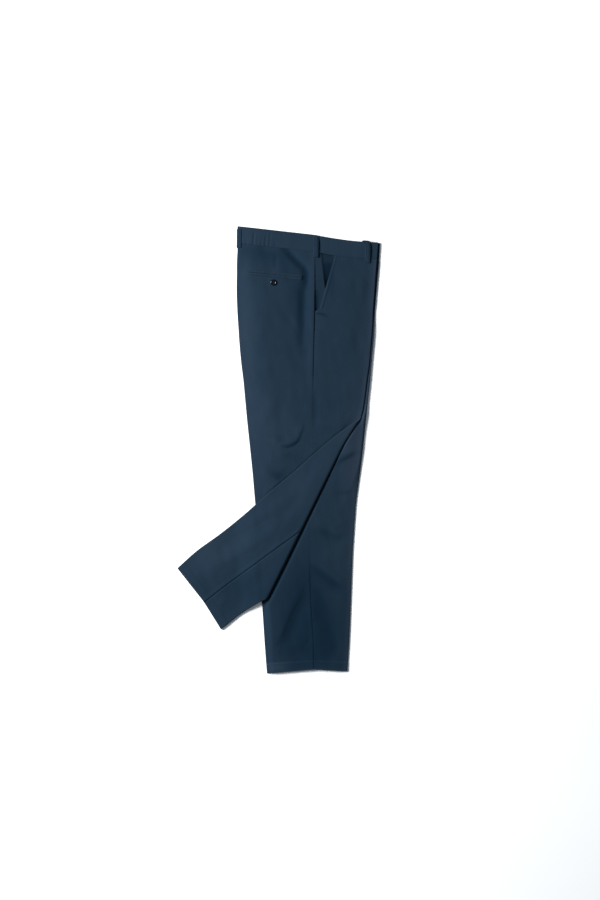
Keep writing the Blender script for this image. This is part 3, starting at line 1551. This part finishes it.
@dataclass
class Welt:
    """One folded strip of the back pocket's mouth."""

    node: str
    way: float
    start: tuple[float, float] = POCKET_MOUTH[0]
    end: tuple[float, float] = POCKET_MOUTH[1]
    width: float = 5.4
    mouth: float = 0.8
    cloth: float = 1.0

    def surface(self, along: Array, across: Array, lift: Array) -> Array:
        """Places points on the welt.

        Args:
            along: 0 at its end near the seat to 1 near the side seam.
            across: 0 at the mouth to 1 at its outer edge.
            lift: height above the panel under it.

        Returns:
            The points in millimetres.
        """
        run = np.array([self.end[0] - self.start[0], self.end[1] - self.start[1]])
        out = np.array([-run[1], run[0]]) / np.hypot(*run) * self.way
        offset = self.mouth / 2 + self.width * across
        x = self.start[0] + run[0] * along + out[0] * offset
        y = self.start[1] + run[1] * along + out[1] * offset
        return np.stack([x, y, thigh_top(x, y) + 0.25 + lift], axis=-1)

    def place(self, along: Array, across: Array, high: Array) -> Placed:
        """Lays the welt, rounded over at its folded edge.

        Args:
            along: the points' places along the mouth.
            across: their places across the strip.
            high: 1 on the outer face, 0 on the inner.

        Returns:
            The laid points, the cloth's own map and its wear.
        """
        fold = np.sqrt(np.clip(1 - (1 - np.clip(across / 0.16, 0, 1)) ** 2, 0.02, 1))
        edge = np.sqrt(np.clip(1 - (1 - np.clip((1 - across) / 0.08, 0, 1)) ** 2, 0.05, 1))
        ends = np.clip(np.minimum(along, 1 - along) / 0.004, 0.2, 1)
        puff = 0.25 * np.sin(np.pi * across) + 0.12 * np.sin(along * 47 + 2 * np.sin(along * 11))
        lift = high * (self.cloth + puff) * fold * edge * ends
        own_map = np.stack([along * 126, 300 + across * self.width], axis=-1)
        return Placed(self.surface(along, across, lift), own_map, high * (1 - fold) * 0.8)

    def make(self, material: bpy.types.Material) -> bpy.types.Object:
        """Builds the welt."""
        across = spaced((0, 0.16, 5), (0.16, 0.92, 5), (0.92, 1, 3))
        along = np.linspace(0, 1, 70)
        return wall_of_cloth(f"{self.node}_twill", along, across, self.place, material, [self.node])


@dataclass
class BeltLoop:
    """A flat belt loop that lies on the waistband at its ends and arches a little between them."""

    node: str
    x: float
    top: float
    low: float
    band: Waistband
    width: float = 12.5
    cloth: float = 1.3
    arch: float = 1.9
    slack: float = 0.0

    def bed(self, x: Array, y: Array) -> Array:
        """Height of what the loop lies on: the waistband, then the panel below its seam.

        Args:
            x: places in plan.
            y: places in plan.

        Returns:
            The height at each place.
        """
        front = x > RIGHT.outseam(y)
        share = np.clip((x - RIGHT.outseam(y)) / (RIGHT.edges[Side.FRONT](y) - RIGHT.outseam(y)), 0, 1)
        seam = np.where(front, RIGHT.row(Side.FRONT, WAIST_SEAM, share), WAIST_SEAM)
        band = band_middle(RIGHT) + BAND_CLOTH / 2 + loft(x, y)
        return mix(thigh_top(x, y) + 0.2, band + 0.3, smooth(y - seam, -3, 2))

    def surface(self, across: Array, down: Array, lift: Array) -> Array:
        """Places points on the loop.

        Args:
            across: -0.5 to 0.5 over its width.
            down: 0 at its top to 1 at its low end.
            lift: height above its underside.

        Returns:
            The points in millimetres.
        """
        slope = -WAIST_DROP_FRONT / (RIGHT.edges[Side.FRONT](self.top) - RIGHT.outseam(self.top))
        spread = self.slack * smooth(0.3 - down, 0, 0.3) * (0.5 - across)
        x = self.x + across * self.width + 0.4 * np.sin(down * 5.0) - spread
        rounding = 2.2 * (np.abs(across) * 2) ** 4 * (1 - smooth(down, 0, 0.25))
        y = mix(self.top, self.low, down) + across * self.width * slope - rounding
        middle = self.bed(np.full(np.shape(y), self.x), y)
        side = self.bed(x, y)
        arch = self.arch * np.sin(np.clip(down, 0, 1) * math.pi) ** 0.5
        return np.stack([x, y, np.maximum(middle, side) + arch + lift], axis=-1)

    def place(self, across: Array, down: Array, high: Array) -> Placed:
        """Lays the loop, with its sides folded and its ends tucked.

        Args:
            across: the points' places across.
            down: their places down the loop.
            high: 1 on the outer face, 0 on the inner.

        Returns:
            The laid points, the cloth's own map and its wear.
        """
        rim = np.sqrt(np.clip(1 - (np.abs(across) * 2) ** 10, 0.1, 1))
        tuck = np.sqrt(np.clip(1 - (1 - np.clip(np.minimum(down, 1 - down) / 0.03, 0, 1)) ** 2, 0.1, 1))
        crown = 0.35 * np.cos(across * math.pi) - 0.55 * np.exp(-(((np.abs(across) - 0.3) / 0.055) ** 2))
        lift = high * (self.cloth + crown) * rim * tuck
        own_map = np.stack([across * self.width, 400 + down * 50], axis=-1)
        rows = 0.8 * np.exp(-(((np.abs(across) - 0.3) / 0.06) ** 2)) * smooth(0.75 - down, 0, 0.3)
        return Placed(self.surface(across, down, lift), own_map, high * (1 - rim) * 0.9, rows * high)

    def make(self, material: bpy.types.Material) -> bpy.types.Object:
        """Builds the loop."""
        across = np.sin(np.linspace(-math.pi / 2, math.pi / 2, 19)) / 2
        down = spaced((0, 0.04, 4), (0.04, 0.96, 30), (0.96, 1, 4))
        return wall_of_cloth(f"{self.node}_twill", across, down, self.place, material, [self.node])


@dataclass
class SeatLoop:
    """The loop at the middle of the seat, which wraps the waistband's folded edge down to the table."""

    node: str = "belt_loop_seat"
    top: float = 531.0
    low: float = 486.0
    reach: float = 7.0
    bend: float = 2.2
    cloth: float = 1.3

    def surface(self, round_it: Array, down: Array, lift: Array) -> Array:
        """Places points on the loop.

        Args:
            round_it: 0 to 1 in over the band, 1 to 2 round the fold, 2 to 3 down to the table.
            down: 0 at its top to 1 at its low end.
            lift: height above its underside.

        Returns:
            The points in millimetres.
        """
        y = mix(self.top, self.low, down)
        edge = np.minimum(RIGHT.edges[Side.BACK](y), LEFT.edges[Side.BACK](y)) - BAND_CLOTH / 2
        out = self.bend + 0.3 + lift
        flat = 1 - np.clip(round_it, 0, 1)
        angle = np.clip(round_it - 1, 0, 1) * math.pi / 2
        fall = np.clip(round_it - 2, 0, 1)
        x = edge + self.bend + flat * self.reach - out * np.sin(angle)
        centre = band_middle(RIGHT) + BAND_CLOTH / 2 - self.bend + loft(x, y) * (flat > 0)
        return np.stack([x, y, mix(centre + out * np.cos(angle), 0.0, fall)], axis=-1)

    def place(self, round_it: Array, down: Array, high: Array) -> Placed:
        """Lays the loop.

        Args:
            round_it: the points' places round the fold.
            down: their places down the loop.
            high: 1 on the outer face, 0 on the inner.

        Returns:
            The laid points, the cloth's own map and its wear.
        """
        rim = np.sqrt(np.clip(1 - (1 - np.clip(round_it / 0.12, 0, 1)) ** 2, 0.15, 1))
        tuck = np.sqrt(np.clip(1 - (1 - np.clip(np.minimum(down, 1 - down) / 0.03, 0, 1)) ** 2, 0.15, 1))
        groove = 0.25 * np.exp(-(((round_it - 0.45) / 0.12) ** 2))
        points = self.surface(round_it, down, high * (self.cloth - groove) * rim * tuck)
        own_map = np.stack([round_it * 4, 400 + down * 45], axis=-1)
        return Placed(points, own_map, high * (1 - rim) * 0.9)

    def make(self, material: bpy.types.Material) -> bpy.types.Object:
        """Builds the loop."""
        round_it = spaced((0, 0.2, 4), (0.2, 1, 8), (1, 2, 8), (2, 3, 4))
        down = spaced((0, 0.04, 4), (0.04, 0.96, 24), (0.96, 1, 4))
        return wall_of_cloth(f"{self.node}_twill", round_it, down, self.place, material, [self.node])


@dataclass
class PocketButton:
    """The four-hole button of the back pocket, turned and drilled, with the thread that holds it."""

    node: str = "back_pocket_button"
    x: float = -11.8
    y: float = 402.0
    radius: float = 7.6
    height: float = 2.8
    rim: float = 2.4
    dish: float = 1.0
    hole: float = 1.0
    hole_ring: float = 2.0
    turn: float = math.radians(38)

    def base(self) -> float:
        """Height of the button's underside, just clear of the cloth."""
        lowest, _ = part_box(self.node)
        return lowest[2] / MM

    def make(self, material: bpy.types.Material) -> bpy.types.Object:
        """Turns the button, rounds its rim and drills it.

        Args:
            material: the resin.

        Returns:
            The piece.
        """
        bm = bmesh.new()
        inner = self.radius - self.rim
        outline = [(0.0, 0.0), (self.radius - 1.6, 0.0), (self.radius - 0.5, 0.5), (self.radius, 1.2)]
        outline += [(self.radius - 0.2, 1.85), (self.radius - 0.7, 2.35), (self.radius - 1.25, 2.66)]
        outline += [(self.radius - 1.8, self.height), (inner, self.height - 0.12)]
        outline += [(inner - 0.5, self.height - self.dish * 0.45), (inner - 1.1, self.height - self.dish * 0.8)]
        outline += [(inner - 2.0, self.height - self.dish), (0.0, self.height - self.dish)]
        verts = [bm.verts.new((r, 0, z)) for r, z in outline]
        edges = [bm.edges.new(pair) for pair in zip(verts, verts[1:])]
        bmesh.ops.spin(
            bm, geom=verts + edges, cent=(0, 0, 0), axis=(0, 0, 1), angle=2 * math.pi, steps=48, use_merge=True
        )
        bmesh.ops.remove_doubles(bm, verts=bm.verts[:], dist=0.001)
        bmesh.ops.recalc_face_normals(bm, faces=bm.faces[:])
        body = self.object_of(bm, "button_body")
        drills = bmesh.new()
        for quarter in range(4):
            angle = self.turn + (quarter + 0.5) * math.pi / 2
            place = Matrix.Translation((self.hole_ring * math.cos(angle), self.hole_ring * math.sin(angle), 1))
            bmesh.ops.create_cone(
                drills, cap_ends=True, segments=16, radius1=self.hole, radius2=self.hole, depth=9, matrix=place
            )
        cutter = self.object_of(drills, "button_drills")
        drill = body.modifiers.new("drill", "BOOLEAN")
        drill.operation = "DIFFERENCE"
        drill.object = cutter
        evaluated = body.evaluated_get(bpy.context.evaluated_depsgraph_get())
        bm = bmesh.new()
        bm.from_mesh(evaluated.to_mesh())
        for spare in (body, cutter):
            bpy.data.objects.remove(spare, do_unlink=True)
        bmesh.ops.scale(bm, vec=(MM,) * 3, verts=bm.verts[:])
        bmesh.ops.translate(bm, vec=(self.x * MM, self.y * MM, self.base() * MM), verts=bm.verts[:])
        return finish_piece(bm, f"{self.node}_resin", material, [self.node])

    @staticmethod
    def object_of(bm: bmesh.types.BMesh, name: str) -> bpy.types.Object:
        """A linked object that holds a mesh, which is freed."""
        mesh = bpy.data.meshes.new(name)
        bm.to_mesh(mesh)
        bm.free()
        piece = bpy.data.objects.new(name, mesh)
        bpy.context.scene.collection.objects.link(piece)
        return piece

    def sew(self, thread: Stitching) -> None:
        """Sews the button on with two bars of thread through its holes.

        Args:
            thread: the stitching that the bars join.
        """
        top = self.base() + self.height - self.dish + 0.15
        for bar in (-1, 1):
            for strand in (-0.3, 0.0, 0.3):
                start, end = [
                    self.turned(end * self.hole_ring * 0.72, bar * self.hole_ring * 0.7 + strand) for end in (-1, 1)
                ]
                line = np.array([[*start, top], [*end, top]])
                style = StitchStyle(pitch=3.0, length=3.4, width=0.45, height=0.5)
                thread.row(lambda t, lift, ends=line: self.bar(ends, t, lift), np.linspace(0, 1, 5), style)

    def turned(self, along: float, across: float) -> tuple[float, float]:
        """A place on the button, turned with its holes."""
        angle = self.turn
        x = self.x + along * math.cos(angle) - across * math.sin(angle)
        return x, self.y + along * math.sin(angle) + across * math.cos(angle)

    @staticmethod
    def bar(ends: Array, share: Array, lift: Array) -> Array:
        """Points along a bar of thread."""
        points = ends[0] + np.outer(share, ends[1] - ends[0])
        return points + np.outer(lift, [0, 0, 1])


@dataclass
class Studio:
    """The pale floor, the soft light and the camera straight above."""

    floor_size: float = 9.0
    light_strength: float = 440.0
    fill_strength: float = 0.30

    def make_floor(self) -> None:
        """Lays the floor just under the garment."""
        bm = bmesh.new()
        bmesh.ops.create_grid(bm, x_segments=1, y_segments=1, size=self.floor_size / 2)
        bmesh.ops.translate(bm, vec=(0, 0, -0.0003), verts=bm.verts[:])
        mesh = bpy.data.meshes.new("floor")
        bm.to_mesh(mesh)
        bm.free()
        material = bpy.data.materials.new("pale_board")
        material.use_nodes = True
        tree = material.node_tree
        shader = tree.nodes["Principled BSDF"]
        shader.inputs["Roughness"].default_value = 0.9
        shader.inputs["Specular IOR Level"].default_value = 0.1
        place = add_node(tree, "ShaderNodeTexCoord")
        grain = add_node(tree, "ShaderNodeTexNoise", in_Vector=place.outputs["Object"], in_Scale=3.0)
        base = Dye.blend(tree, grain.outputs[0], linear_colour("f4f4f3"), linear_colour("f8f8f8"), 1.0)
        tree.links.new(base, shader.inputs["Base Color"])
        mesh.materials.append(material)
        floor = bpy.data.objects.new("floor", mesh)
        bpy.context.scene.collection.objects.link(floor)

    def make_light(self) -> None:
        """Hangs a large soft light at the upper left, and fills the shadows from all round."""
        light = bpy.data.lights.new("window", "AREA")
        light.shape = "RECTANGLE"
        light.size = 1.9
        light.size_y = 1.5
        light.energy = self.light_strength
        lamp = bpy.data.objects.new("window", light)
        lamp.location = (-3.25, 1.0, 2.4)
        lamp.rotation_mode = "QUATERNION"
        aim = Vector((0.05, -0.05, 0.0)) - lamp.location
        lamp.rotation_quaternion = aim.to_track_quat("-Z", "Y")
        bpy.context.scene.collection.objects.link(lamp)
        world = bpy.context.scene.world or bpy.data.worlds.new("studio")
        bpy.context.scene.world = world
        world.use_nodes = True
        background = world.node_tree.nodes["Background"]
        background.inputs["Color"].default_value = linear_colour("dfecf8")
        background.inputs["Strength"].default_value = self.fill_strength

    def make_camera(self) -> None:
        """Sets the camera straight above the middle of the picture, so that the garment fills it as shown."""
        camera = bpy.data.cameras.new("camera")
        camera.lens = LENS
        camera.sensor_width = SENSOR
        camera.clip_start, camera.clip_end = 0.1, 50.0
        eye = bpy.data.objects.new("camera", camera)
        eye.location = (AIM[0] * MM, AIM[1] * MM, PICTURE_HEIGHT * MM * LENS / SENSOR)
        bpy.context.scene.collection.objects.link(eye)
        bpy.context.scene.camera = eye
        bpy.context.scene.view_settings.view_transform = "Standard"

    def make(self) -> None:
        """Builds the whole studio."""
        self.make_camera()
        self.make_floor()
        self.make_light()


class Chinos:
    """The garment: its panels, waistbands, pockets, loops, button and sewing."""

    def __init__(self) -> None:
        """Works out the grids and makes the materials."""
        dye = Dye()
        self.twill = dye.twill(TWILL_FINISH)
        self.thread = dye.thread(THREAD_FINISH)
        self.resin = dye.resin(BUTTON_FINISH)
        shown_rows = spaced(
            (WAIST_SEAM - 0.2, MOUTH_LOW[1], 46),
            (MOUTH_LOW[1], MOUTH_LOW[1] - MOUTH_STEP, 3),
            (MOUTH_LOW[1] - MOUTH_STEP, RIGHT_HEM + 26, 246),
            (RIGHT_HEM + 26, RIGHT_HEM, 16),
        )
        table_rows = spaced(
            (LEFT.waist - 0.2, SEAT_CURVE_TOP, 16),
            (SEAT_CURVE_TOP, CROTCH_POINT, 12),
            (CROTCH_POINT, 60, 20),
            (60, LEFT_HEM + 26, 180),
            (LEFT_HEM + 26, LEFT_HEM, 16),
        )
        shown = spaced((0, 0.03, 4), (0.03, 1, 56), (1, 2, 8), (2, 2.97, 50), (2.97, 3, 4))
        table = spaced((0, 1, 14), (1, 2, 8), (2, 2.97, 50), (2.97, 3, 4))
        self.back_right = Panel(
            RIGHT, Side.BACK, shown, shown_rows, "back_right", (0.352, 0.99), 0.262, ("back_left", "floor")
        )
        self.front_right = Panel(
            RIGHT, Side.FRONT, shown, shown_rows, "front_right", (0.302, 0.97), 0.225, ("front_left", "floor")
        )
        self.back_left = Panel(
            LEFT, Side.BACK, table, table_rows, "back_left", (0.352, 1.03), 0.27, ("floor",)
        )
        self.front_left = Panel(
            LEFT, Side.FRONT, table, table_rows, "front_left", (0.302, 1.01), 0.24, ("floor",)
        )
        self.band_right = Waistband(RIGHT, WAIST_TOP, 2.2, "waistband_right")
        self.band_left = Waistband(LEFT, WAIST_TOP - 1.5, 2.8, "waistband_left")
        self.side_loop = BeltLoop("belt_loop_side_right", 90, 513.5, 462, self.band_right)
        self.front_loop = BeltLoop("belt_loop_front_right", 214, 503.5, 449, self.band_right, slack=8.0)
        self.welt_upper = Welt("back_pocket_welt_upper", 1)
        self.welt_lower = Welt("back_pocket_welt_lower", -1)

    def make(self) -> None:
        """Builds every piece, sews it and declares its cloth."""
        self.make_panels()
        self.make_waist()
        self.make_pockets()
        self.sew()

    def make_panels(self) -> None:
        """Builds the four panels."""
        for panel in (self.back_right, self.front_right, self.back_left, self.front_left):
            panel.make(self.twill)

    def make_waist(self) -> None:
        """Builds both waistbands and the belt loops, and declares their cloth."""
        right = self.band_right.make(self.twill)
        left = self.band_left.make(self.twill)
        side = self.side_loop.make(self.twill)
        front = self.front_loop.make(self.twill)
        seat = SeatLoop().make(self.twill)

    def make_pockets(self) -> None:
        """Builds the pocket facing, the welts and the button, and declares their cloth."""
        facing = PocketFacing().make(self.twill)
        for welt in (self.welt_upper, self.welt_lower):
            piece = welt.make(self.twill)
        self.button = PocketButton()
        self.button.make(self.resin)

    def sew(self) -> None:
        back = Stitching("back_right_stitches")
        self.sew_back(back)
        front = Stitching("front_right_stitches")
        self.sew_front(front)
        hem = Stitching("left_hem_stitches")
        for panel in (self.back_left, self.front_left):
            self.sew_hem(hem, panel)
        waist = Stitching("waist_stitches")
        self.sew_waist(waist)
        pieces = [sewing.make(self.thread) for sewing in (back, front, hem, waist)]
        self.back_right.declare([pieces[0]])
        self.front_right.declare([pieces[1]])
        self.back_left.declare([pieces[2]])
        self.front_left.declare([])

    def sew_hem(self, thread: Stitching, panel: Panel) -> None:
        """Sews a panel's hem on its inner leg with small blind stitches.

        Args:
            thread: the stitching that the row joins.
            panel: the panel.
        """
        row = panel.half.hem + HEM_DEPTH

        def line(share: Array, lift: Array) -> Array:
            """Points along the hem of the inner layer."""
            return panel.surface(np.full(len(share), row), 2.02 + 0.96 * share, lift)

        thread.row(line, np.linspace(0, 1, 60), BLINDSTITCH)

    def sew_back(self, thread: Stitching) -> None:
        """Sews the back: hem, the pocket's edges and tacks, and the button.

        Args:
            thread: the stitching that the rows join.
        """
        self.sew_hem(thread, self.back_right)
        for welt in (self.welt_upper, self.welt_lower):

            def edge(share: Array, lift: Array, strip: Welt = welt) -> Array:
                """Points along the welt's outer edge."""
                return strip.surface(share, np.full(len(share), 1.12), lift)

            thread.row(edge, np.linspace(0.005, 0.995, 60))

        for end in (0.004, 0.996):

            def tack(share: Array, lift: Array, place: float = end) -> Array:
                """Points along the tack that closes the mouth's end."""
                across = np.abs(share * 2 - 1) * 0.9
                upper = self.welt_upper.surface(np.full(len(share), place), across, lift + 1.0)
                lower = self.welt_lower.surface(np.full(len(share), place), across, lift + 1.0)
                return np.where((share < 0.5)[:, None], upper, lower)

            thread.row(tack, np.linspace(0, 1, 40), BARTACK)
        self.button.sew(thread)

    def sew_front(self, thread: Stitching) -> None:
        """Sews the front: hem, the pocket mouth's edge and its low tack.

        Args:
            thread: the stitching that the rows join.
        """
        self.sew_hem(thread, self.front_right)

        def beside_mouth(share: Array, lift: Array) -> Array:
            """Points 6 mm in from the edge of the pocket's mouth."""
            seam_y = mix(WAIST_SEAM - 3, MOUTH_LOW[1] + 1, share)
            return self.front_right.surface(seam_y, np.full(len(share), 0.055), lift)

        thread.row(beside_mouth, np.linspace(0, 1, 80))

        def low_tack(share: Array, lift: Array) -> Array:
            """Points across the low end of the mouth."""
            x, y = mix(92.0, 113.0, share), mix(328.5, 326.5, share)
            return np.stack([x, y, thigh_top(x, y) + lift], axis=-1)

        thread.row(low_tack, np.linspace(0, 1, 30), BARTACK)

    def sew_waist(self, thread: Stitching) -> None:
        """Sews the waistband's lower edge and the belt loops' sides and tacks.

        Args:
            thread: the stitching that the rows join.
        """

        def lower_edge(share: Array, lift: Array) -> Array:
            """Points along the band, just above its seam."""
            return self.band_right.surface(1.02 + 1.97 * share, np.full(len(share), 0.05), BAND_CLOTH / 2 + lift)

        thread.row(lower_edge, np.linspace(0, 1, 220))
        for loop in (self.side_loop, self.front_loop):
            for side in (-0.3, 0.3):

                def down_side(share: Array, lift: Array, at: float = side, strip: BeltLoop = loop) -> Array:
                    """Points down one side of the loop."""
                    return strip.surface(np.full(len(share), at), mix(0.03, 0.97, share), lift + strip.cloth)

                thread.row(down_side, np.linspace(0, 1, 40))
            for end in (0.05, 0.94):

                def across_end(share: Array, lift: Array, at: float = end, strip: BeltLoop = loop) -> Array:
                    """Points across the loop's end."""
                    return strip.surface(mix(-0.45, 0.45, share), np.full(len(share), at), lift + strip.cloth)

                thread.row(across_end, np.linspace(0, 1, 20), BARTACK)


def main() -> None:
    """Builds the studio and the garment."""
    logging.basicConfig(level=logging.INFO, format="%(name)s: %(message)s")
    Studio().make()
    Chinos().make()


if __name__ == "__main__":
    main()
